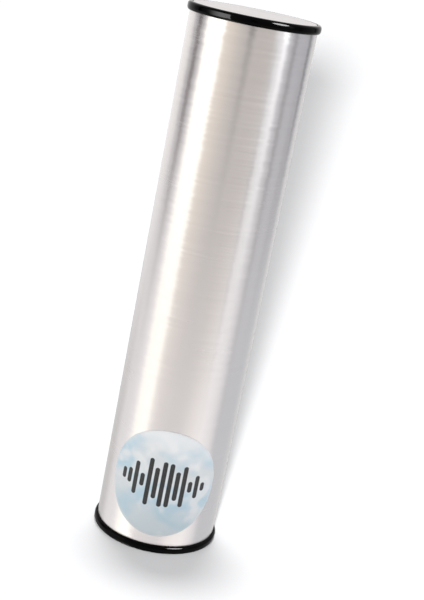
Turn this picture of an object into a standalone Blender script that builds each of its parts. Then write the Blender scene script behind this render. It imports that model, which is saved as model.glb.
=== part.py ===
"""Hand shaker: a brushed tube closed at both ends, with loose steel shot inside.

It stands upright on its lower end disc: +Z runs along the tube, the origin is the centre of the lower
end face, and the label faces -Y. All sizes are in metres.
"""
import math

import bmesh
import bpy
from mathutils import Vector

# Whole object
OVERALL_LENGTH = 0.2230
SEAT_GAP = 0.0003

# Tube
TUBE_DIAMETER = 0.0508
TUBE_WALL = 0.0016
TUBE_EDGE = 0.0003

# End discs
DISC_THICKNESS = 0.0010
DISC_EDGE = 0.0002

# Rim rings: a rounded outer side, a web between disc and tube, and a leg that plugs into the bore.
# A fullness of 2 is a plain round, and a higher one flattens the side and tightens its corners.
RING_PROUD = 0.0012
RING_LIP = 0.00175
RING_FULLNESS = 3.0
RING_WEB = 0.0009
RING_GRIP = 0.0013
RING_LEG_WALL = 0.0014
RING_LEG_DEPTH = 0.0070
RING_LEG_EDGE = 0.0004

# Label: a thin round sheet, measured flat, wrapped round the tube
LABEL_DIAMETER = 0.0470
LABEL_THICKNESS = 0.0002
LABEL_GAP = 0.0001
LABEL_CENTRE_HEIGHT = 0.0311

# Shot: one bead in the middle and rings of six, twelve and eighteen round it
BEAD_DIAMETER = 0.0045
BEAD_RINGS = 3
BEADS_PER_RING_STEP = 6
BEAD_WALL_GAP = 0.0010

# Facets
TURN_STEPS = 72
RING_ARC_STEPS = 10
LABEL_SEGMENTS = 64
SHOT_SEGMENTS = 12
SHOT_RINGS = 8
MERGE_DISTANCE = 0.00001

# Derived fits
TUBE_RADIUS = TUBE_DIAMETER / 2
BORE_RADIUS = TUBE_RADIUS - TUBE_WALL
RING_RADIUS = TUBE_RADIUS + RING_PROUD
POCKET_RADIUS = RING_RADIUS - RING_LIP
DISC_RADIUS = POCKET_RADIUS - SEAT_GAP
LEG_OUTER_RADIUS = BORE_RADIUS - SEAT_GAP
LEG_INNER_RADIUS = LEG_OUTER_RADIUS - RING_LEG_WALL
WEB_START = DISC_THICKNESS + SEAT_GAP
WEB_END = WEB_START + RING_WEB
TUBE_START = WEB_END + SEAT_GAP
RING_HEIGHT = WEB_END + RING_GRIP
BEAD_RADIUS = BEAD_DIAMETER / 2


def clear_scene():
    for obj in list(bpy.data.objects):
        bpy.data.objects.remove(obj, do_unlink=True)


def make_material(name, colour, roughness, metallic):
    material = bpy.data.materials.new(name)
    material.use_nodes = True
    shader = material.node_tree.nodes["Principled BSDF"]
    shader.inputs["Base Color"].default_value = (*colour, 1.0)
    shader.inputs["Roughness"].default_value = roughness
    shader.inputs["Metallic"].default_value = metallic
    return material


def add_object(name, mesh, collection, root, location=(0, 0, 0), rotation=(0, 0, 0)):
    obj = bpy.data.objects.new(name, mesh)
    obj.location = location
    obj.rotation_euler = rotation
    obj.parent = root
    collection.objects.link(obj)
    return obj


def profile_mesh(name, points, closed, material):
    """A mesh of edges only, through (radius, height) points in the XZ plane."""
    builder = bmesh.new()
    verts = [builder.verts.new((radius, 0, height)) for radius, height in points]
    for first, second in zip(verts, verts[1:]):
        builder.edges.new((first, second))
    if closed:
        builder.edges.new((verts[-1], verts[0]))
    mesh = bpy.data.meshes.new(name)
    builder.to_mesh(mesh)
    builder.free()
    mesh.materials.append(material)
    return mesh


def turn(obj):
    """Turns the object's profile once round Z."""
    screw = obj.modifiers.new("Turn", "SCREW")
    screw.axis = "Z"
    screw.angle = math.tau
    screw.screw_offset = 0
    screw.steps = TURN_STEPS
    screw.render_steps = TURN_STEPS
    screw.use_merge_vertices = True
    screw.merge_threshold = MERGE_DISTANCE
    screw.use_smooth_shade = True


def tube_profile():
    top = OVERALL_LENGTH - TUBE_START
    return [
        (TUBE_RADIUS - TUBE_EDGE, top),
        (TUBE_RADIUS, top - TUBE_EDGE),
        (TUBE_RADIUS, TUBE_START + TUBE_EDGE),
        (TUBE_RADIUS - TUBE_EDGE, TUBE_START),
        (BORE_RADIUS + TUBE_EDGE, TUBE_START),
        (BORE_RADIUS, TUBE_START + TUBE_EDGE),
        (BORE_RADIUS, top - TUBE_EDGE),
        (BORE_RADIUS + TUBE_EDGE, top),
    ]


def disc_profile():
    """The lower end disc, outer face down at height zero."""
    return [
        (0, DISC_THICKNESS),
        (DISC_RADIUS, DISC_THICKNESS),
        (DISC_RADIUS, DISC_EDGE),
        (DISC_RADIUS - DISC_EDGE, 0),
        (0, 0),
    ]


def signed_power(value, power):
    return math.copysign(abs(value) ** power, value)


def rim_arc():
    """The ring's rounded outer side, from the lip over the tube down to the lip flush with the disc."""
    half_height = RING_HEIGHT / 2
    centre_radius = RING_RADIUS - half_height
    slot_share = (TUBE_RADIUS + SEAT_GAP - centre_radius) / half_height
    pocket_share = (POCKET_RADIUS - centre_radius) / half_height
    start = math.acos(signed_power(slot_share, RING_FULLNESS / 2))
    end = -math.acos(signed_power(pocket_share, RING_FULLNESS / 2))
    points = []
    for step in range(RING_ARC_STEPS + 1):
        angle = start + (end - start) * step / RING_ARC_STEPS
        across = signed_power(math.cos(angle), 2 / RING_FULLNESS)
        along = signed_power(math.sin(angle), 2 / RING_FULLNESS)
        points.append((centre_radius + half_height * across, half_height + half_height * along))
    return points


def ring_profile():
    """The lower rim ring's section."""
    leg_top = WEB_END + RING_LEG_DEPTH
    return rim_arc() + [
        (POCKET_RADIUS, WEB_START),
        (LEG_INNER_RADIUS, WEB_START),
        (LEG_INNER_RADIUS, leg_top),
        (LEG_OUTER_RADIUS - RING_LEG_EDGE, leg_top),
        (LEG_OUTER_RADIUS, leg_top - RING_LEG_EDGE),
        (LEG_OUTER_RADIUS, WEB_END),
        (TUBE_RADIUS + SEAT_GAP, WEB_END),
    ]


def label_mesh(material):
    """A flat round sheet cut into upright strips and wrapped round the tube, facing -Y."""
    wrap_radius = TUBE_RADIUS + LABEL_GAP
    builder = bmesh.new()
    bmesh.ops.create_circle(builder, segments=LABEL_SEGMENTS, radius=LABEL_DIAMETER / 2, cap_ends=True)
    rim = list(builder.verts)
    upper_half = [vert for vert in rim if vert.co.y > MERGE_DISTANCE]
    for vert in upper_half:
        mirrored = Vector((vert.co.x, -vert.co.y, 0))
        partner = min(rim, key=lambda other: (other.co - mirrored).length)
        bmesh.ops.connect_verts(builder, verts=[vert, partner])
    for vert in rim:
        angle = vert.co.x / wrap_radius
        vert.co = (wrap_radius * math.sin(angle), -wrap_radius * math.cos(angle), vert.co.y)
    bmesh.ops.recalc_face_normals(builder, faces=builder.faces)
    if builder.faces[:][0].normal.y > 0:
        bmesh.ops.reverse_faces(builder, faces=builder.faces)
    mesh = bpy.data.meshes.new("label")
    builder.to_mesh(mesh)
    builder.free()
    mesh.materials.append(material)
    mesh.shade_smooth()
    return mesh


def thicken_outward(obj, thickness):
    solidify = obj.modifiers.new("Thickness", "SOLIDIFY")
    solidify.thickness = thickness
    solidify.offset = 1
    solidify.use_even_offset = True


def bead_mesh(material):
    builder = bmesh.new()
    bmesh.ops.create_uvsphere(builder, u_segments=SHOT_SEGMENTS, v_segments=SHOT_RINGS, radius=BEAD_RADIUS)
    mesh = bpy.data.meshes.new("steel_bead")
    builder.to_mesh(mesh)
    builder.free()
    mesh.materials.append(material)
    mesh.shade_smooth()
    return mesh


def bead_places():
    """Centres of the beads, lying in one layer on the lower disc and spread over its free face."""
    pitch = (LEG_INNER_RADIUS - BEAD_WALL_GAP - BEAD_RADIUS) / BEAD_RINGS
    height = DISC_THICKNESS + SEAT_GAP + BEAD_RADIUS
    places = [(0, 0, height)]
    for ring in range(1, BEAD_RINGS + 1):
        count = BEADS_PER_RING_STEP * ring
        for index in range(count):
            angle = math.tau * index / count
            places.append((ring * pitch * math.cos(angle), ring * pitch * math.sin(angle), height))
    return places


def build():
    clear_scene()
    collection = bpy.data.collections.new("hand_shaker")
    bpy.context.scene.collection.children.link(collection)
    root = bpy.data.objects.new("hand_shaker_root", None)
    collection.objects.link(root)

    tube_metal = make_material("tube_aluminium", (0.80, 0.78, 0.77), 0.32, 1.0)
    disc_metal = make_material("disc_aluminium", (0.78, 0.76, 0.75), 0.38, 1.0)
    rim_black = make_material("rim_black", (0.012, 0.012, 0.013), 0.14, 0.0)
    label_film = make_material("label_film", (0.70, 0.79, 0.84), 0.45, 0.0)
    shot_steel = make_material("shot_steel", (0.56, 0.56, 0.57), 0.28, 1.0)

    turn(add_object("tube", profile_mesh("tube", tube_profile(), True, tube_metal), collection, root))

    ring = profile_mesh("rim_ring", ring_profile(), True, rim_black)
    disc = profile_mesh("end_disc", disc_profile(), False, disc_metal)
    top_place = (0, 0, OVERALL_LENGTH)
    upside_down = (math.pi, 0, 0)
    turn(add_object("bottom_rim_ring", ring, collection, root))
    turn(add_object("top_rim_ring", ring, collection, root, top_place, upside_down))
    turn(add_object("bottom_end_disc", disc, collection, root))
    turn(add_object("top_end_disc", disc, collection, root, top_place, upside_down))

    label = add_object("label", label_mesh(label_film), collection, root, (0, 0, LABEL_CENTRE_HEIGHT))
    thicken_outward(label, LABEL_THICKNESS)

    bead = bead_mesh(shot_steel)
    for number, place in enumerate(bead_places(), 1):
        add_object(f"steel_bead_{number:02d}", bead, collection, root, place)


build()
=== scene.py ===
"""Hand shaker: the finished look of a brushed tube with black rim rings, set on a pale studio floor."""
import math

import bmesh
import bpy
from mathutils import Matrix, Vector, noise


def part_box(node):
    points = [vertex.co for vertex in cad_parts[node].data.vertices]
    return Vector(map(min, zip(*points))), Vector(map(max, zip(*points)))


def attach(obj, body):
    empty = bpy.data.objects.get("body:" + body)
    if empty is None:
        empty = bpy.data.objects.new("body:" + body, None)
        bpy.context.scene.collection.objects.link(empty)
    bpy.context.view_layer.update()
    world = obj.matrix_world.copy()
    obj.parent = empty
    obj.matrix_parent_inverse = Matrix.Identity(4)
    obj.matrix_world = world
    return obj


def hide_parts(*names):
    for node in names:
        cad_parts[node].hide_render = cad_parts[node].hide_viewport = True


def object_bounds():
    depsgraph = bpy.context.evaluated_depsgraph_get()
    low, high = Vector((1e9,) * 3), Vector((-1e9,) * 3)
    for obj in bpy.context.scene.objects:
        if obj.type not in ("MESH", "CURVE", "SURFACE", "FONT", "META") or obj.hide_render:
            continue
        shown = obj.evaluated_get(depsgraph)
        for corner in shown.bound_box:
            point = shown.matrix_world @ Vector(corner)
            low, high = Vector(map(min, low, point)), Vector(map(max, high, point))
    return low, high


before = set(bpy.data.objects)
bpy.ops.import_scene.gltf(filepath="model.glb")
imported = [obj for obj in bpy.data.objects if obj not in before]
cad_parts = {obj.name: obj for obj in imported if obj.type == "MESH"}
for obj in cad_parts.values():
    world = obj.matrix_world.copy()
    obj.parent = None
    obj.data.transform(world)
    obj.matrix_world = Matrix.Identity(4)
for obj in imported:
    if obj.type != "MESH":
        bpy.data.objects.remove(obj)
cad_low, cad_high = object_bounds()

SHELL = "shell"
MM = 0.001

# Facets. Points nearer to the axis than the pole's reach become one vertex.
TURN_STEPS = 240
SOFT_STEPS = 5
TUBE_RING_PITCH = 6 * MM
POLE_REACH = 1e-7
SHARP_ANGLE = math.radians(40)

# Tube and its seats, beyond what the frame gives
TUBE_WALL = 1.6 * MM
TUBE_EDGE = 0.25 * MM
SEAT_GAP = 0.3 * MM
FINE_EDGE = 0.10 * MM

# End discs, with one more ring of points at a share of the radius
DISC_EDGE = 0.22 * MM
DISC_MIDDLE = 0.5

# Rim rings. A fullness of 2 is a plain round, and a higher one flattens the side and tightens its corners.
RING_WEB = 0.9 * MM
RING_HEIGHT = 3.5 * MM
RING_GRIP = 1.3 * MM
RING_LIP = 1.75 * MM
RING_LEG_WALL = 1.4 * MM
RING_LEG_EDGE = 0.4 * MM
RING_FULLNESS = 3.0
RING_ARC_STEPS = 28

# Label. Its face's last ring of points lies a few edge roundings in from the rim, and the edge has one bend.
LABEL_SEATING = 0.02 * MM
LABEL_EDGE = 0.06 * MM
LABEL_LAST_RING = 4 * LABEL_EDGE
LABEL_BEND = 0.3 * LABEL_EDGE
LABEL_SEGMENTS = 160
LABEL_RINGS = 24
LABEL_UV = "label_flat"
UV_MIDDLE = 0.5

# Shot: pellets a little smaller than the beads that they stand for, each with its own shallow dents
SHOT_DETAIL = 4
SHOT_SHARE = 0.99
SHOT_DENT = 0.05
SHOT_DENT_SCALE = 1.7
SHOT_DENT_SHIFT = 900

# Camera
CAMERA_PLACE = (0, -0.5245, 0.2568)
CAMERA_PITCH_DOWN = math.radians(16.11)
CAMERA_YAW_RIGHT = math.radians(0.59)
CAMERA_ROLL = math.radians(11.33)
CAMERA_LENS = 79.1
CAMERA_SENSOR = 36
CAMERA_CLIP_START = 0.01
CAMERA_CLIP_END = 200

# Floor
FLOOR_RADIUS = 60
FLOOR_SEGMENTS = 96
FLOOR_DROP = 0.2 * MM

# Most of a noise's values lie between these two
NOISE_LOW = 0.3
NOISE_HIGH = 0.7

# Sockets of a colour mix
MIX_FACTOR = 0
MIX_FIRST = 6
MIX_SECOND = 7
MIX_RESULT = 2

# A quarter turn lays the long side of the gloss across the brush lines, which run along the tangent.
BRUSH_TURN = 0.25


class Graph:
    """Short calls for wiring shader nodes. An input may be a socket, or a plain value."""

    def __init__(self, tree):
        self.tree = tree
        tree.nodes.clear()

    def add(self, kind, inputs=None, **settings):
        node = self.tree.nodes.new(kind)
        for name, value in settings.items():
            setattr(node, name, value)
        for key, value in (inputs or {}).items():
            if isinstance(value, bpy.types.NodeSocket):
                self.tree.links.new(value, node.inputs[key])
            else:
                node.inputs[key].default_value = value
        return node

    def math(self, operation, *values):
        return self.add("ShaderNodeMath", dict(enumerate(values)), operation=operation).outputs[0]

    def weigh(self, first, first_share, second, second_share):
        """The sum of two values, each times its share."""
        weighed_first = self.math("MULTIPLY", first, first_share)
        weighed_second = self.math("MULTIPLY", second, second_share)
        return self.math("ADD", weighed_first, weighed_second)

    def vector_math(self, operation, *values):
        return self.add("ShaderNodeVectorMath", dict(enumerate(values)), operation=operation).outputs[0]

    def scale(self, vector, factor):
        inputs = {0: vector, "Scale": factor}
        return self.add("ShaderNodeVectorMath", inputs, operation="SCALE").outputs[0]

    def length(self, vector):
        return self.add("ShaderNodeVectorMath", {0: vector}, operation="LENGTH").outputs["Value"]

    def split(self, vector):
        """The three parts of a vector, as X, Y and Z."""
        return self.add("ShaderNodeSeparateXYZ", {0: vector}).outputs

    def remap(self, kind, value, start, end, low, high):
        inputs = {"Value": value, "From Min": start, "From Max": end, "To Min": low, "To Max": high}
        return self.add("ShaderNodeMapRange", inputs, interpolation_type=kind).outputs[0]

    def ease(self, value, start, end, low=0.0, high=1.0):
        """A smooth step from low to high, while the value goes from start to end."""
        return self.remap("SMOOTHSTEP", value, start, end, low, high)

    def span(self, value, start, end, low=0.0, high=1.0):
        """A straight ramp from low to high, while the value goes from start to end."""
        return self.remap("LINEAR", value, start, end, low, high)

    def spread(self, grain, low=0.0, high=1.0):
        """Takes a noise's usual values to a range from low to high."""
        return self.span(grain, NOISE_LOW, NOISE_HIGH, low, high)

    def blend(self, factor, first, second):
        inputs = {MIX_FACTOR: factor, MIX_FIRST: first, MIX_SECOND: second}
        return self.add("ShaderNodeMix", inputs, data_type="RGBA").outputs[MIX_RESULT]

    def cover(self, colour, over, mask, share):
        """Lays a second colour over the first where the mask is on, up to a share of it."""
        return self.blend(self.math("MULTIPLY", mask, share), colour, opaque(over))

    def object_place(self):
        return self.add("ShaderNodeTexCoord").outputs["Object"]

    def camera_ray(self):
        return self.add("ShaderNodeLightPath").outputs["Is Camera Ray"]

    def round_tangent(self):
        """The direction round the Z axis."""
        return self.add("ShaderNodeTangent", direction_type="RADIAL", axis="Z").outputs[0]

    def noise(self, place, scale, detail=2.0, roughness=0.5):
        inputs = {"Vector": place, "Scale": scale, "Detail": detail, "Roughness": roughness}
        return self.add("ShaderNodeTexNoise", inputs).outputs[0]

    def stretched_noise(self, place, stretch, detail=2.0, roughness=0.5, scale=1.0):
        """A noise with its own scale along each axis."""
        return self.noise(self.vector_math("MULTIPLY", place, stretch), scale, detail, roughness)

    def line_noise(self, reach, detail):
        """A noise along one value."""
        inputs = {"W": reach, "Scale": 1.0, "Detail": detail}
        return self.add("ShaderNodeTexNoise", inputs, noise_dimensions="1D").outputs[0]

    def bump(self, height, distance, strength):
        inputs = {"Height": height, "Distance": distance, "Strength": strength}
        return self.add("ShaderNodeBump", inputs).outputs[0]

    def surface(self, **inputs):
        shader = self.add("ShaderNodeBsdfPrincipled", inputs)
        self.add("ShaderNodeOutputMaterial", {"Surface": shader.outputs[0]})


def new_material(name):
    material = bpy.data.materials.new(name)
    material.use_nodes = True
    return material, Graph(material.node_tree)


def opaque(colour, level=1.0):
    return (colour[0] * level, colour[1] * level, colour[2] * level, 1.0)


def soften(corners):
    """A closed section through (radius, height, rounding) corners, each rounded by a short curve."""
    points = []
    for index, (radius, height, rounding) in enumerate(corners):
        corner = Vector((radius, height))
        if not rounding:
            points.append(corner)
            continue
        before = Vector(corners[index - 1][:2])
        after = Vector(corners[(index + 1) % len(corners)][:2])
        start = corner + (before - corner).normalized() * rounding
        end = corner + (after - corner).normalized() * rounding
        for step in range(SOFT_STEPS + 1):
            share = step / SOFT_STEPS
            points.append(start.lerp(corner, share).lerp(corner.lerp(end, share), share))
    return points


def bridge(builder, first, second):
    """Joins two loops of vertices by faces. A loop that is one vertex over and over gives triangles."""
    count = len(first)
    for step in range(count):
        after = (step + 1) % count
        corners = list(dict.fromkeys([first[step], first[after], second[after], second[step]]))
        if len(corners) > 2:
            builder.faces.new(corners)


def lathe(name, section, material):
    """Turns a closed section once round Z. Points on the axis become single poles."""
    turns = [math.tau * step / TURN_STEPS for step in range(TURN_STEPS)]
    builder = bmesh.new()
    loops = []
    for radius, height in section:
        if radius < POLE_REACH:
            loops.append([builder.verts.new((0, 0, height))] * TURN_STEPS)
            continue
        ring = [(radius * math.cos(turn), radius * math.sin(turn), height) for turn in turns]
        loops.append([builder.verts.new(place) for place in ring])
    for first, second in zip(loops, loops[1:] + loops[:1]):
        bridge(builder, first, second)
    bmesh.ops.recalc_face_normals(builder, faces=builder.faces)
    return finish_mesh(name, builder, material)


def finish_mesh(name, builder, material):
    mesh = bpy.data.meshes.new(name)
    builder.to_mesh(mesh)
    builder.free()
    mesh.materials.append(material)
    mesh.shade_smooth()
    mesh.set_sharp_from_angle(angle=SHARP_ANGLE)
    obj = bpy.data.objects.new(name, mesh)
    bpy.context.scene.collection.objects.link(obj)
    return obj


def dress(piece, node, body=SHELL):
    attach(piece, body)
    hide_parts(node)


def tube_section(radius, low, high):
    bore = radius - TUBE_WALL
    rings = round((high - low) / TUBE_RING_PITCH)
    heights = [low + (high - low) * index / rings for index in range(1, rings)]
    outside = [(radius, height, 0) for height in heights]
    inside = [(bore, height, 0) for height in reversed(heights)]
    return soften(
        [(radius, low, TUBE_EDGE)] + outside + [(radius, high, TUBE_EDGE)]
        + [(bore, high, TUBE_EDGE)] + inside + [(bore, low, TUBE_EDGE)]
    )


def disc_section(radius, outer_face, inner_face):
    return soften([
        (0, outer_face, 0),
        (radius * DISC_MIDDLE, outer_face, 0),
        (radius, outer_face, DISC_EDGE),
        (radius, inner_face, FINE_EDGE),
        (radius * DISC_MIDDLE, inner_face, 0),
        (0, inner_face, 0),
    ])


def signed_power(value, power):
    return math.copysign(abs(value) ** power, value)


def rim_arc(radius, low, height, pocket, slot):
    """The ring's rounded outer side, from the lip over the tube down to the lip round the disc."""
    half_height = height / 2
    centre = Vector((radius - half_height, low + half_height))
    start = math.acos(signed_power((slot - centre.x) / half_height, RING_FULLNESS / 2))
    end = -math.acos(signed_power((pocket - centre.x) / half_height, RING_FULLNESS / 2))
    corners = []
    for step in range(RING_ARC_STEPS + 1):
        angle = start + (end - start) * step / RING_ARC_STEPS
        across = half_height * signed_power(math.cos(angle), 2 / RING_FULLNESS)
        along = half_height * signed_power(math.sin(angle), 2 / RING_FULLNESS)
        rounding = FINE_EDGE if step in (0, RING_ARC_STEPS) else 0
        corners.append((centre.x + across, centre.y + along, rounding))
    return corners


def ring_section(radius, low, height, leg_top, tube_radius):
    """The lower ring: a rounded outer side, lips round disc and tube, a web and a leg in the bore."""
    pocket = radius - RING_LIP
    slot = tube_radius + SEAT_GAP
    web_end = low + height - RING_GRIP
    web_start = web_end - RING_WEB
    leg_outer = tube_radius - TUBE_WALL - SEAT_GAP
    leg_inner = leg_outer - RING_LEG_WALL
    return soften(rim_arc(radius, low, height, pocket, slot) + [
        (pocket, web_start, FINE_EDGE),
        (leg_inner, web_start, FINE_EDGE),
        (leg_inner, leg_top, FINE_EDGE),
        (leg_outer, leg_top, RING_LEG_EDGE),
        (leg_outer, web_end, FINE_EDGE),
        (slot, web_end, FINE_EDGE),
    ])


def flipped(section, length):
    return [(radius, length - height) for radius, height in section]


def label_profile(reach, thickness):
    """The sheet's section from the middle of its face, over its edge, to the middle of its back."""
    profile = [(reach * ring / LABEL_RINGS, thickness) for ring in range(LABEL_RINGS - 1)]
    return profile + [
        (reach - LABEL_LAST_RING, thickness),
        (reach - LABEL_EDGE, thickness),
        (reach - LABEL_BEND, thickness - LABEL_BEND),
        (reach, thickness - LABEL_EDGE),
        (reach, 0),
        (0, 0),
    ]


def label_piece(name, size, centre_height, seat_radius, thickness, material):
    """A round sheet with a rounded edge, wrapped round the tube and facing -Y, with its flat place as UV."""
    builder = bmesh.new()
    flat = builder.verts.layers.float_vector.new("flat_place")
    loops = []
    for reach, lift in label_profile(size / 2, thickness):
        count = LABEL_SEGMENTS if reach > POLE_REACH else 1
        radius = seat_radius + lift
        loop = []
        for step in range(count):
            turn = math.tau * step / LABEL_SEGMENTS
            across = reach * math.cos(turn)
            up = reach * math.sin(turn)
            angle = across / seat_radius
            place = (radius * math.sin(angle), -radius * math.cos(angle), centre_height + up)
            vert = builder.verts.new(place)
            vert[flat] = (across / size + UV_MIDDLE, up / size + UV_MIDDLE, 0)
            loop.append(vert)
        loops.append(loop * (LABEL_SEGMENTS // count))
    for first, second in zip(loops, loops[1:]):
        bridge(builder, first, second)
    uv_layer = builder.loops.layers.uv.new(LABEL_UV)
    for face in builder.faces:
        for corner in face.loops:
            corner[uv_layer].uv = corner.vert[flat].xy
    bmesh.ops.recalc_face_normals(builder, faces=builder.faces)
    return finish_mesh(name, builder, material)


def shot_piece(name, centre, radius, material):
    """A tumbled steel pellet: a ball with shallow dents."""
    builder = bmesh.new()
    bmesh.ops.create_icosphere(builder, subdivisions=SHOT_DETAIL, radius=1)
    for vert in builder.verts:
        dent = max(noise.noise(vert.co * SHOT_DENT_SCALE + centre * SHOT_DENT_SHIFT), 0)
        vert.co = centre + vert.co * radius * (SHOT_SHARE - SHOT_DENT * dent)
    return finish_mesh(name, builder, material)


# Brushed tube. Its brush lines are noises stretched round the tube, so they vary quickly only along Z. Each
# line also leans the surface a little to one side, which breaks up the edges of the reflections.
TUBE_FINE_LINES = (22, 22, 1900)
TUBE_BROAD_LINES = (9, 9, 620)
TUBE_FINE_SHARE = 0.6
TUBE_BROAD_SHARE = 0.4
TUBE_DARK = (0.802, 0.773, 0.757)
TUBE_PALE = (0.838, 0.807, 0.789)
TUBE_ROUGHNESS = (0.22, 0.27)
TUBE_ANISOTROPY = 0.7
TUBE_BUMP_DEPTH = 0.02 * MM
TUBE_BUMP_STRENGTH = 0.10
LEAN_LINES = (26, 26, 950)
LEAN_NOISE_LOW = 0.25
LEAN_NOISE_HIGH = 0.75
LINE_LEAN = 0.016
SCRATCH_LINES = (42, 42, 1500)
SCRATCH_START = 0.74
SCRATCH_END = 0.80
SCRATCH_COLOUR = (0.90, 0.89, 0.88)
SCRATCH_SHARE = 0.14
TUBE_SMUDGE_SCALE = 38.0
TUBE_SMUDGE_ROUGHNESS = (-0.015, 0.02)
# Painted shade and grime: the tube's colour darkens in patches close against the rings, where they meet it.
SHADE_GRIME_REACH = 2.6 * MM
SHADE_GRIME_FULL = 0.4 * MM
SHADE_GRIME_NOISE_LOW = 0.35
SHADE_GRIME_NOISE_HIGH = 0.65
SHADE_GRIME_COLOUR = (0.42, 0.40, 0.39)
SHADE_GRIME_SHARE = 0.45


# Painted shade and grime: a patchy mask that rises near either end of the tube, next to the rings.
def tube_shade_and_grime(g, place, smudge, low, high):
    height = g.split(place)["Z"]
    end_gap = g.math("MINIMUM", g.math("SUBTRACT", height, low), g.math("SUBTRACT", high, height))
    near_end = g.ease(end_gap, SHADE_GRIME_REACH, SHADE_GRIME_FULL)
    return g.math("MULTIPLY", near_end, g.span(smudge, SHADE_GRIME_NOISE_LOW, SHADE_GRIME_NOISE_HIGH))


def tube_normal(g, place, grain, tangent):
    lines = g.stretched_noise(place, LEAN_LINES, detail=1.0)
    lean = g.span(lines, LEAN_NOISE_LOW, LEAN_NOISE_HIGH, -LINE_LEAN, LINE_LEAN)
    bumped = g.bump(grain, TUBE_BUMP_DEPTH, TUBE_BUMP_STRENGTH)
    return g.vector_math("NORMALIZE", g.vector_math("ADD", bumped, g.scale(tangent, lean)))


def tube_material(low, high):
    material, g = new_material("brushed_tube")
    place = g.object_place()
    fine = g.stretched_noise(place, TUBE_FINE_LINES, roughness=0.6)
    broad = g.stretched_noise(place, TUBE_BROAD_LINES)
    grain = g.weigh(fine, TUBE_FINE_SHARE, broad, TUBE_BROAD_SHARE)
    smudge = g.noise(place, TUBE_SMUDGE_SCALE, detail=4.0, roughness=0.6)
    streak = g.stretched_noise(place, SCRATCH_LINES, detail=1.0)
    scratch = g.ease(streak, SCRATCH_START, SCRATCH_END)
    # Painted shade with grime, darkening the colour in patches next to the rings.
    shade_and_grime = tube_shade_and_grime(g, place, smudge, low, high)
    colour = g.blend(g.spread(grain), opaque(TUBE_DARK), opaque(TUBE_PALE))
    colour = g.cover(colour, SCRATCH_COLOUR, scratch, SCRATCH_SHARE)
    colour = g.cover(colour, SHADE_GRIME_COLOUR, shade_and_grime, SHADE_GRIME_SHARE)
    smudged = g.spread(smudge, *TUBE_SMUDGE_ROUGHNESS)
    tangent = g.round_tangent()
    g.surface(**{
        "Base Color": colour,
        "Metallic": 1.0,
        "Roughness": g.math("ADD", g.spread(grain, *TUBE_ROUGHNESS), smudged),
        "Anisotropic": TUBE_ANISOTROPY,
        "Anisotropic Rotation": BRUSH_TURN,
        "Tangent": tangent,
        "Normal": tube_normal(g, place, grain, tangent),
    })
    return material


# Spun end discs: fine turned rings, broken up by a plain noise
DISC_RING_SCALE = 2600
DISC_RING_SHARE = 0.75
DISC_BREAK_SCALE = 90.0
DISC_BREAK_SHARE = 0.25
DISC_DARK = (0.81, 0.785, 0.78)
DISC_PALE = (0.90, 0.876, 0.87)
DISC_ROUGHNESS = (0.30, 0.40)
DISC_ANISOTROPY = 0.5
DISC_SMUDGE_SCALE = 45.0
DISC_SMUDGE_ROUGHNESS = (-0.04, 0.05)
DISC_BUMP_DEPTH = 0.02 * MM
DISC_BUMP_STRENGTH = 0.3


def disc_material():
    material, g = new_material("spun_disc")
    place = g.object_place()
    reach = g.length(g.vector_math("MULTIPLY", place, (1, 1, 0)))
    rings = g.line_noise(g.math("MULTIPLY", reach, DISC_RING_SCALE), detail=3.0)
    broken = g.noise(place, DISC_BREAK_SCALE, detail=3.0)
    grain = g.weigh(rings, DISC_RING_SHARE, broken, DISC_BREAK_SHARE)
    smudge = g.noise(place, DISC_SMUDGE_SCALE, detail=4.0, roughness=0.6)
    smudged = g.spread(smudge, *DISC_SMUDGE_ROUGHNESS)
    g.surface(**{
        "Base Color": g.blend(g.spread(grain), opaque(DISC_DARK), opaque(DISC_PALE)),
        "Metallic": 1.0,
        "Roughness": g.math("ADD", g.spread(grain, *DISC_ROUGHNESS), smudged),
        "Anisotropic": DISC_ANISOTROPY,
        "Anisotropic Rotation": BRUSH_TURN,
        "Tangent": g.round_tangent(),
        "Normal": g.bump(grain, DISC_BUMP_DEPTH, DISC_BUMP_STRENGTH),
    })
    return material


# Gloss black rims, with fine scuffs
RIM_BLACK = (0.0008, 0.0008, 0.0009)
RIM_SCUFF_COLOUR = (0.004, 0.004, 0.0042)
RIM_SCUFF_SHARE = 0.4
RIM_SCUFF_LINES = (260, 260, 1500)
RIM_SCUFF_START = 0.62
RIM_SCUFF_END = 0.74
RIM_SCUFF_ROUGHNESS = 0.10
RIM_MOTTLE_SCALE = 160.0
RIM_ROUGHNESS = (0.05, 0.09)
RIM_SPECULAR = 0.05
RIM_BUMP_SCALE = 700.0
RIM_BUMP_DEPTH = 0.01 * MM
RIM_BUMP_STRENGTH = 0.12


def rim_material():
    material, g = new_material("gloss_black_rim")
    place = g.object_place()
    mottle = g.noise(place, RIM_MOTTLE_SCALE, detail=4.0, roughness=0.6)
    streak = g.stretched_noise(place, RIM_SCUFF_LINES, roughness=0.6)
    scuff = g.ease(streak, RIM_SCUFF_START, RIM_SCUFF_END)
    scuffed = g.math("MULTIPLY", scuff, RIM_SCUFF_ROUGHNESS)
    g.surface(**{
        "Base Color": g.cover(opaque(RIM_BLACK), RIM_SCUFF_COLOUR, scuff, RIM_SCUFF_SHARE),
        "Roughness": g.math("ADD", g.spread(mottle, *RIM_ROUGHNESS), scuffed),
        "Specular IOR Level": RIM_SPECULAR,
        "Normal": g.bump(g.noise(place, RIM_BUMP_SCALE), RIM_BUMP_DEPTH, RIM_BUMP_STRENGTH),
    })
    return material


# Steel shot: small pits and broad stains
SHOT_PIT_SCALE = 1400.0
SHOT_STAIN_SCALE = 260.0
SHOT_DARK = (0.46, 0.455, 0.45)
SHOT_PALE = (0.60, 0.60, 0.605)
SHOT_ROUGHNESS = (0.20, 0.38)
SHOT_BUMP_DEPTH = 0.03 * MM
SHOT_BUMP_STRENGTH = 0.3


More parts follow.
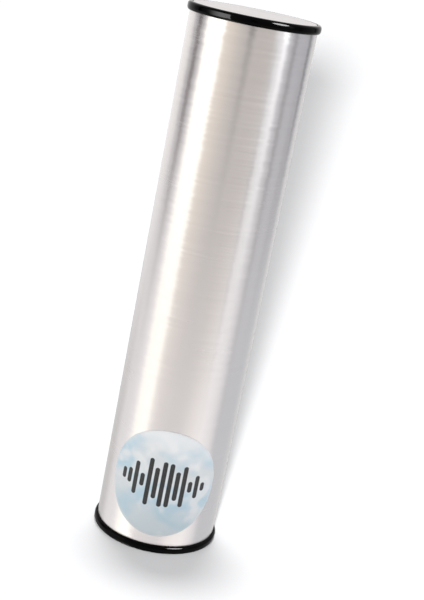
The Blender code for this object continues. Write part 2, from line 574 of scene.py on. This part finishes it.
def bead_material():
    material, g = new_material("steel_shot")
    place = g.object_place()
    pits = g.noise(place, SHOT_PIT_SCALE, detail=3.0, roughness=0.6)
    stain = g.noise(place, SHOT_STAIN_SCALE, detail=3.0)
    g.surface(**{
        "Base Color": g.blend(g.spread(stain), opaque(SHOT_DARK), opaque(SHOT_PALE)),
        "Metallic": 1.0,
        "Roughness": g.spread(pits, *SHOT_ROUGHNESS),
        "Normal": g.bump(pits, SHOT_BUMP_DEPTH, SHOT_BUMP_STRENGTH),
    })
    return material


# Printed label, measured in millimetres from its centre. Clouds: blue patches on pale, white drifts over
# them, a deeper tone towards the foot, a haze towards the top and a greyed rim.
CLOUD_SCALE = 0.055
CLOUD_STRETCH = (0.8, 1.25, 1)
CLOUD_START = 0.41
CLOUD_END = 0.59
DRIFT_SCALE = 0.085
DRIFT_START = 0.50
DRIFT_END = 0.63
DRIFT_SHARE = 0.75
LABEL_PALE = (0.735, 0.77, 0.795)
LABEL_BLUE = (0.53, 0.685, 0.78)
LABEL_WHITE = (0.84, 0.85, 0.862)
SLOPE = 0.12
SLOPE_DRIFT = 4.0
FOOT_START = -4.0
FOOT_END = -18.0
FOOT_COLOUR = (0.49, 0.61, 0.68)
FOOT_SHARE = 0.45
HAZE_START = 7.0
HAZE_END = 21.0
HAZE_COLOUR = (0.91, 0.925, 0.94)
HAZE_SHARE = 0.90
LABEL_RIM_START = 22.5
LABEL_RIM_END = 23.1
LABEL_RIM_COLOUR = (0.74, 0.75, 0.76)
LABEL_RIM_SHARE = 0.25
# The sound wave: bars side by side with round ends. Their half lengths swell towards the middle and ripple
# from bar to bar.
BAR_PITCH = 2.9
BAR_HALF_WIDTH = 0.95
BAR_BLUR = 0.06
BARS_EACH_SIDE = 6
BAR_SWELL = 0.235
BAR_RIPPLE = 1.35
BAR_RIPPLE_START = 0.9
BAR_SHORTEST = 2.4
BAR_LONGEST = 11.0
INK_COLOUR = (0.035, 0.035, 0.036)
INK_GLOSS = -0.05
WEAR_SCALE = 3.2
WEAR_START = 0.30
WEAR_END = 0.42
WEAR_LOW = 0.86
# The film's finish
FILM_SCALE = 0.3
FILM_ROUGHNESS = (0.36, 0.48)
FILM_SPECULAR = 0.35
FILM_PEEL_SCALE = 2.2
FILM_BUMP_DEPTH = 0.02 * MM
FILM_BUMP_STRENGTH = 0.2


def label_clouds(g, flat, across, up):
    cloud = g.stretched_noise(flat, CLOUD_STRETCH, scale=CLOUD_SCALE)
    drift = g.noise(flat, DRIFT_SCALE)
    colour = g.blend(g.ease(cloud, CLOUD_START, CLOUD_END), opaque(LABEL_PALE), opaque(LABEL_BLUE))
    colour = g.cover(colour, LABEL_WHITE, g.ease(drift, DRIFT_START, DRIFT_END), DRIFT_SHARE)
    slope = g.math("ADD", up, g.math("MULTIPLY", across, SLOPE))
    drifted = g.math("ADD", slope, g.spread(drift, -SLOPE_DRIFT, SLOPE_DRIFT))
    colour = g.cover(colour, FOOT_COLOUR, g.ease(drifted, FOOT_START, FOOT_END), FOOT_SHARE)
    colour = g.cover(colour, HAZE_COLOUR, g.ease(drifted, HAZE_START, HAZE_END), HAZE_SHARE)
    rim = g.ease(g.length(flat), LABEL_RIM_START, LABEL_RIM_END)
    return g.cover(colour, LABEL_RIM_COLOUR, rim, LABEL_RIM_SHARE)


def label_bars(g, across, up):
    """Where the ink lies: one on a bar, and zero beside it."""
    cell = g.math("DIVIDE", across, BAR_PITCH)
    index = g.math("ROUND", cell)
    aside = g.math("MULTIPLY", g.math("SUBTRACT", cell, index), BAR_PITCH)
    swell = g.math("COSINE", g.math("MULTIPLY", index, BAR_SWELL))
    phase = g.math("ADD", g.math("MULTIPLY", index, BAR_RIPPLE), BAR_RIPPLE_START)
    ripple = g.math("ABSOLUTE", g.math("SINE", phase))
    half_length = g.math("MULTIPLY", swell, g.span(ripple, 0.0, 1.0, BAR_SHORTEST, BAR_LONGEST))
    above = g.math("MAXIMUM", g.math("SUBTRACT", g.math("ABSOLUTE", up), half_length), 0.0)
    squares = g.math("ADD", g.math("MULTIPLY", aside, aside), g.math("MULTIPLY", above, above))
    distance = g.math("POWER", squares, 0.5)
    bar = g.ease(distance, BAR_HALF_WIDTH + BAR_BLUR, BAR_HALF_WIDTH - BAR_BLUR)
    inside = g.math("LESS_THAN", g.math("ABSOLUTE", index), BARS_EACH_SIDE + 0.5)
    return g.math("MULTIPLY", bar, inside)


def label_material(size):
    """Pale blue clouds with a charcoal sound wave of upright bars."""
    material, g = new_material("printed_label")
    place = g.add("ShaderNodeUVMap", uv_map=LABEL_UV).outputs[0]
    centred = g.vector_math("SUBTRACT", place, (UV_MIDDLE, UV_MIDDLE, 0))
    flat = g.scale(centred, size / MM)
    parts = g.split(flat)
    across = parts["X"]
    up = parts["Y"]
    ink = label_bars(g, across, up)
    wear = g.noise(flat, WEAR_SCALE, detail=3.0, roughness=0.6)
    worn = g.span(wear, WEAR_START, WEAR_END, WEAR_LOW, 1.0)
    colour = label_clouds(g, flat, across, up)
    film = g.spread(g.noise(flat, FILM_SCALE, detail=3.0), *FILM_ROUGHNESS)
    peel = g.noise(flat, FILM_PEEL_SCALE, detail=3.0)
    g.surface(**{
        "Base Color": g.cover(colour, INK_COLOUR, ink, worn),
        "Roughness": g.math("ADD", film, g.math("MULTIPLY", ink, INK_GLOSS)),
        "Specular IOR Level": FILM_SPECULAR,
        "Normal": g.bump(peel, FILM_BUMP_DEPTH, FILM_BUMP_STRENGTH),
    })
    return material


# Floor: a faintly mottled grey that its lamps light to white, with a small glow that only the camera sees
WHITE = (1.0, 1.0, 1.0)
FLOOR_MOTTLE_SCALE = 30.0
FLOOR_DARK = (0.177, 0.178, 0.180)
FLOOR_PALE = (0.183, 0.184, 0.186)
FLOOR_LIFT = 0.01


def floor_material():
    material, g = new_material("pale_floor")
    mottle = g.noise(g.object_place(), FLOOR_MOTTLE_SCALE, detail=3.0)
    colour = g.blend(mottle, opaque(FLOOR_DARK), opaque(FLOOR_PALE))
    diffuse = g.add("ShaderNodeBsdfDiffuse", {"Color": colour})
    lift = g.math("MULTIPLY", g.camera_ray(), FLOOR_LIFT)
    glow = g.add("ShaderNodeEmission", {"Color": opaque(WHITE), "Strength": lift})
    both = g.add("ShaderNodeAddShader", {0: diffuse.outputs[0], 1: glow.outputs[0]})
    g.add("ShaderNodeOutputMaterial", {"Surface": both.outputs[0]})
    return material


# Studio. Each card has a name, a heading in degrees (0 is the camera's side, minus is its left), a half width
# and its softness, the elevations that it spans and their softness, a colour and a level. A later card covers
# an earlier one, and the table is what no card covers.
TABLE_COLOUR = (1.0, 0.985, 1.01)
TABLE_LEVEL = 0.97
CARDS = [
    ("ceiling", 180, 200, 1, 15, 91, 4, (1.0, 0.995, 0.99), 0.66),
    ("right_fill", 78, 46, 16, 26, 74, 6, (0.99, 0.995, 1.0), 1.05),
    ("front_gap", 0, 100, 12, -90, -46, 6, (1.0, 1.0, 1.0), 0.15),
    ("back_table", 165, 36, 10, -90, -12, 6, (1.0, 1.0, 1.0), 0.60),
    ("left_table", -148, 24, 12, -90, -16.5, 5, (1.0, 1.0, 1.0), 0.64),
    ("back_wall", 180, 200, 1, -12, 15, 5, (1.0, 0.985, 0.98), 0.90),
    ("left_back", -150, 18, 8, -9, 15, 4, (1.0, 0.985, 0.98), 1.0),
    ("back_sweep", 180, 62, 12, 8, 46, 6, (1.0, 0.985, 0.98), 0.90),
    ("warm_front", -2, 47, 4, -18, 16, 4, (0.955, 0.90, 0.865), 0.63),
    ("front_shade", 30, 16, 6, -15.5, -7.5, 3, (0.955, 0.90, 0.865), 0.54),
    ("front_glow", 1, 6, 5, -11.5, -6, 2, (0.955, 0.90, 0.865), 0.85),
    ("warm_glow", -40, 15, 18, -15, 14, 6, (1.0, 0.91, 0.81), 0.94),
    ("right_back", 160, 25.5, 5, -90, -1, 2, (1.0, 1.0, 1.01), 0.72),
    ("right_table", 116, 29, 11, -90, -13, 6, (0.98, 1.005, 1.055), 0.675),
    ("grey_right", 105, 37, 5, -13, 16, 6, (0.985, 1.0, 1.085), 0.52),
    ("grey_line", 87, 3.5, 4, -14, 16, 4, (0.98, 0.975, 1.0), 0.30),
    ("left_shade", -106, 16, 5, -10, 30, 3, (0.985, 0.96, 1.02), 0.48),
    ("left_deep", -105, 7, 4, -10, -7.5, 2, (1.0, 0.75, 0.70), 0.05),
    ("left_line", -104.5, 4.6, 3, -11, 30, 2, (1.0, 0.70, 0.62), 0.07),
    ("right_shade", 119, 6, 6, -13, -8, 3, (1.0, 1.0, 1.02), 0.40),
    ("right_line", 130, 3.8, 4, -8, 30, 3, (1.0, 1.0, 1.02), 0.14),
    ("cool_strip", 60.5, 9.3, 4, -22, 16, 5, (0.975, 0.98, 1.01), 0.83),
    ("strip_low", 47, 9, 7, -24, -17, 3, (0.985, 0.98, 1.0), 1.35),
    ("cool_table", 46, 23, 13, -60, -19.5, 4, (1.01, 0.985, 0.985), 1.18),
    ("cool_core", 65, 5, 5, -2, 14, 2, (0.95, 0.99, 1.04), 2.5),
    ("strip_top", 50.5, 6, 4, -4.5, 16, 1.5, (0.965, 0.985, 1.02), 1.08),
    ("strip_line", 48, 3.5, 3, -14.5, -6, 2, (0.94, 0.97, 1.03), 0.06),
    ("key_mid", -65.2, 16.5, 6, -40, -10, 4, (1.0, 0.99, 0.94), 1.28),
    ("key_low", -66.2, 18.5, 4.5, -9, 0, 3, (1.0, 0.985, 0.93), 1.75),
    ("key_box", -66.8, 18.5, 4.5, 0, 22, 3, (1.0, 0.985, 0.94), 2.2),
    ("key_table", -65, 18, 4, -90, -42, 4, (1.0, 0.985, 0.95), 6.0),
    ("camera_shade", 1, 5, 4, -5.5, 12, 1.5, (0.93, 0.97, 1.05), 0.10),
]
# Lamps whose gloss only the rims take: name, heading, elevation, width, height and power. The left one fades
# out over a share of its width.
RIM_LAMP_REACH = 1.0
RIM_LEFT_LAMP = ("rim_left_lamp", -61.5, -3, 0.80, 0.80, 62.0)
RIM_RIGHT_LAMP = ("rim_right_lamp", 48, 22, 0.50, 0.60, 92.0)
RIM_FADE_SHARE = 0.7
# Lamps that light only the floor: a high one behind, by heading, elevation, spread and strength, and a front
# one. A point of floor at reach r from a lamp at height h takes light as h / r cubed, so a strength of
# r cubed / h lights the floor evenly.
BACK_LAMP = (-169, 82.5, 8, 7.97)
FRONT_LAMP_PLACE = (-0.016, -0.5245, 0.272)
FRONT_LAMP_RADIUS = 0.015
FRONT_LAMP_POWER = 94


def card_mask(g, heading, elevation, centre, half_width, softness, low, high, rise):
    aside = g.math("ABSOLUTE", g.math("WRAP", g.math("SUBTRACT", heading, centre), 180.0, -180.0))
    across = g.ease(aside, half_width + softness, half_width - softness)
    above = g.ease(elevation, low - rise, low + rise)
    below = g.ease(elevation, high + rise, high - rise)
    return g.math("MULTIPLY", across, g.math("MULTIPLY", above, below))


def build_world():
    """The camera sees plain white, and every other ray sees the studio's cards."""
    world = bpy.data.worlds.new("studio")
    world.use_nodes = True
    bpy.context.scene.world = world
    g = Graph(world.node_tree)
    parts = g.split(g.add("ShaderNodeTexCoord").outputs["Generated"])
    toward = g.math("MULTIPLY", parts["Y"], -1.0)
    heading = g.math("DEGREES", g.math("ARCTAN2", parts["X"], toward))
    elevation = g.math("DEGREES", g.math("ARCSINE", parts["Z"]))
    colour = opaque(TABLE_COLOUR, TABLE_LEVEL)
    for _name, *place, tint, level in CARDS:
        colour = g.blend(card_mask(g, heading, elevation, *place), colour, opaque(tint, level))
    studio = g.add("ShaderNodeBackground", {"Color": colour, "Strength": 1.0})
    white = g.add("ShaderNodeBackground", {"Color": opaque(WHITE), "Strength": 1.0})
    mixed = g.add("ShaderNodeMixShader", {0: g.camera_ray(), 1: studio.outputs[0], 2: white.outputs[0]})
    g.add("ShaderNodeOutputWorld", {"Surface": mixed.outputs[0]})


def build_floor():
    builder = bmesh.new()
    bmesh.ops.create_circle(builder, segments=FLOOR_SEGMENTS, radius=FLOOR_RADIUS, cap_ends=True)
    floor = finish_mesh("floor", builder, floor_material())
    floor.location.z = -FLOOR_DROP
    floor.visible_glossy = False
    return floor


def add_lamp(name, kind, strength, receivers):
    """A lamp that lights only the given objects, and that the camera doesn't see."""
    lit = bpy.data.collections.new(name + "_lit")
    for obj in receivers:
        lit.objects.link(obj)
    light = bpy.data.lights.new(name, kind)
    light.energy = strength
    lamp = bpy.data.objects.new(name, light)
    bpy.context.scene.collection.objects.link(lamp)
    lamp.visible_camera = False
    lamp.light_linking.receiver_collection = lit
    return lamp


def turned(heading, elevation):
    """A turn that makes a lamp shine from a heading and an elevation, in degrees."""
    turn = Matrix.Rotation(math.radians(heading), 4, "Z")
    return turn @ Matrix.Rotation(math.radians(90 - elevation), 4, "X")


def light_graph(light):
    light.use_nodes = True
    return Graph(light.node_tree)


def set_glow(g, strength):
    glow = g.add("ShaderNodeEmission", {"Strength": strength})
    g.add("ShaderNodeOutputLight", {"Surface": glow.outputs[0]})


def fade_lamp(light):
    """Dims one side of an area lamp."""
    g = light_graph(light)
    across = g.split(g.add("ShaderNodeNewGeometry").outputs["Parametric"])["X"]
    set_glow(g, g.ease(across, 0.0, RIM_FADE_SHARE))


def build_rim_lamp(setting, shape, rims):
    name, heading, elevation, width, height, power = setting
    lamp = add_lamp(name, "AREA", power, rims)
    lamp.visible_diffuse = False
    lamp.data.shape = shape
    lamp.data.size = width
    lamp.data.size_y = height
    centre = Matrix.Translation((0, 0, cad_high.z))
    lamp.matrix_world = centre @ turned(heading, elevation) @ Matrix.Translation((0, 0, RIM_LAMP_REACH))
    return lamp


def build_back_lamp(floor):
    heading, elevation, spread, strength = BACK_LAMP
    lamp = add_lamp("floor_back_lamp", "SUN", strength, [floor])
    lamp.visible_glossy = False
    lamp.data.angle = math.radians(spread)
    lamp.matrix_world = turned(heading, elevation)


def build_front_lamp(floor):
    lamp = add_lamp("floor_front_lamp", "POINT", FRONT_LAMP_POWER, [floor])
    lamp.visible_glossy = False
    lamp.data.shadow_soft_size = FRONT_LAMP_RADIUS
    lamp.location = FRONT_LAMP_PLACE
    g = light_graph(lamp.data)
    reach_cubed = g.math("POWER", g.add("ShaderNodeLightPath").outputs["Ray Length"], 3.0)
    set_glow(g, g.math("DIVIDE", reach_cubed, FRONT_LAMP_PLACE[2]))


def build_camera():
    data = bpy.data.cameras.new("camera")
    data.lens = CAMERA_LENS
    data.sensor_width = CAMERA_SENSOR
    data.clip_start = CAMERA_CLIP_START
    data.clip_end = CAMERA_CLIP_END
    camera = bpy.data.objects.new("camera", data)
    bpy.context.scene.collection.objects.link(camera)
    turn = Matrix.Rotation(-CAMERA_YAW_RIGHT, 4, "Z")
    pitch = Matrix.Rotation(math.pi / 2 - CAMERA_PITCH_DOWN, 4, "X")
    roll = Matrix.Rotation(CAMERA_ROLL, 4, "Z")
    camera.matrix_world = Matrix.Translation(CAMERA_PLACE) @ turn @ pitch @ roll
    bpy.context.scene.camera = camera


def build_tube(radius, low, high):
    tube = lathe("brushed_tube", tube_section(radius, low, high), tube_material(low, high))
    dress(tube, "tube")


def build_rims(tube_radius, length):
    low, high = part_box("bottom_rim_ring")
    black = rim_material()
    section = ring_section(high.x, low.z, RING_HEIGHT, high.z, tube_radius)
    lower_rim = lathe("lower_rim", section, black)
    upper_rim = lathe("upper_rim", flipped(section, length), black)
    dress(lower_rim, "bottom_rim_ring")
    dress(upper_rim, "top_rim_ring")
    left_lamp = build_rim_lamp(RIM_LEFT_LAMP, "RECTANGLE", [upper_rim])
    fade_lamp(left_lamp.data)
    build_rim_lamp(RIM_RIGHT_LAMP, "ELLIPSE", [lower_rim, upper_rim])


def build_discs(length):
    low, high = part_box("bottom_end_disc")
    spun = disc_material()
    section = disc_section(high.x, low.z, high.z)
    lower_disc = lathe("lower_disc", section, spun)
    upper_disc = lathe("upper_disc", flipped(section, length), spun)
    dress(lower_disc, "bottom_end_disc")
    dress(upper_disc, "top_end_disc")


def build_label(tube_radius):
    low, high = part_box("label")
    size = high.z - low.z
    centre_height = (low.z + high.z) / 2
    seat_radius = tube_radius + LABEL_SEATING
    thickness = -low.y - seat_radius
    label = label_piece("round_label", size, centre_height, seat_radius, thickness, label_material(size))
    dress(label, "label")


def build_shot():
    steel = bead_material()
    beads = [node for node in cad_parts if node.startswith("steel_bead")]
    for node in beads:
        number = node[-2:]
        low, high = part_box(node)
        pellet = shot_piece("shot_pellet_" + number, (low + high) / 2, (high.z - low.z) / 2, steel)
        dress(pellet, node, "bead_" + number)


def build_shaker():
    length = cad_high.z - cad_low.z
    tube_low, tube_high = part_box("tube")
    tube_radius = tube_high.x
    build_tube(tube_radius, tube_low.z, tube_high.z)
    build_rims(tube_radius, length)
    build_discs(length)
    build_label(tube_radius)
    build_shot()


def build_stage():
    build_camera()
    build_world()
    floor = build_floor()
    build_back_lamp(floor)
    build_front_lamp(floor)
    bpy.context.scene.view_settings.view_transform = "Standard"


build_stage()
build_shaker()
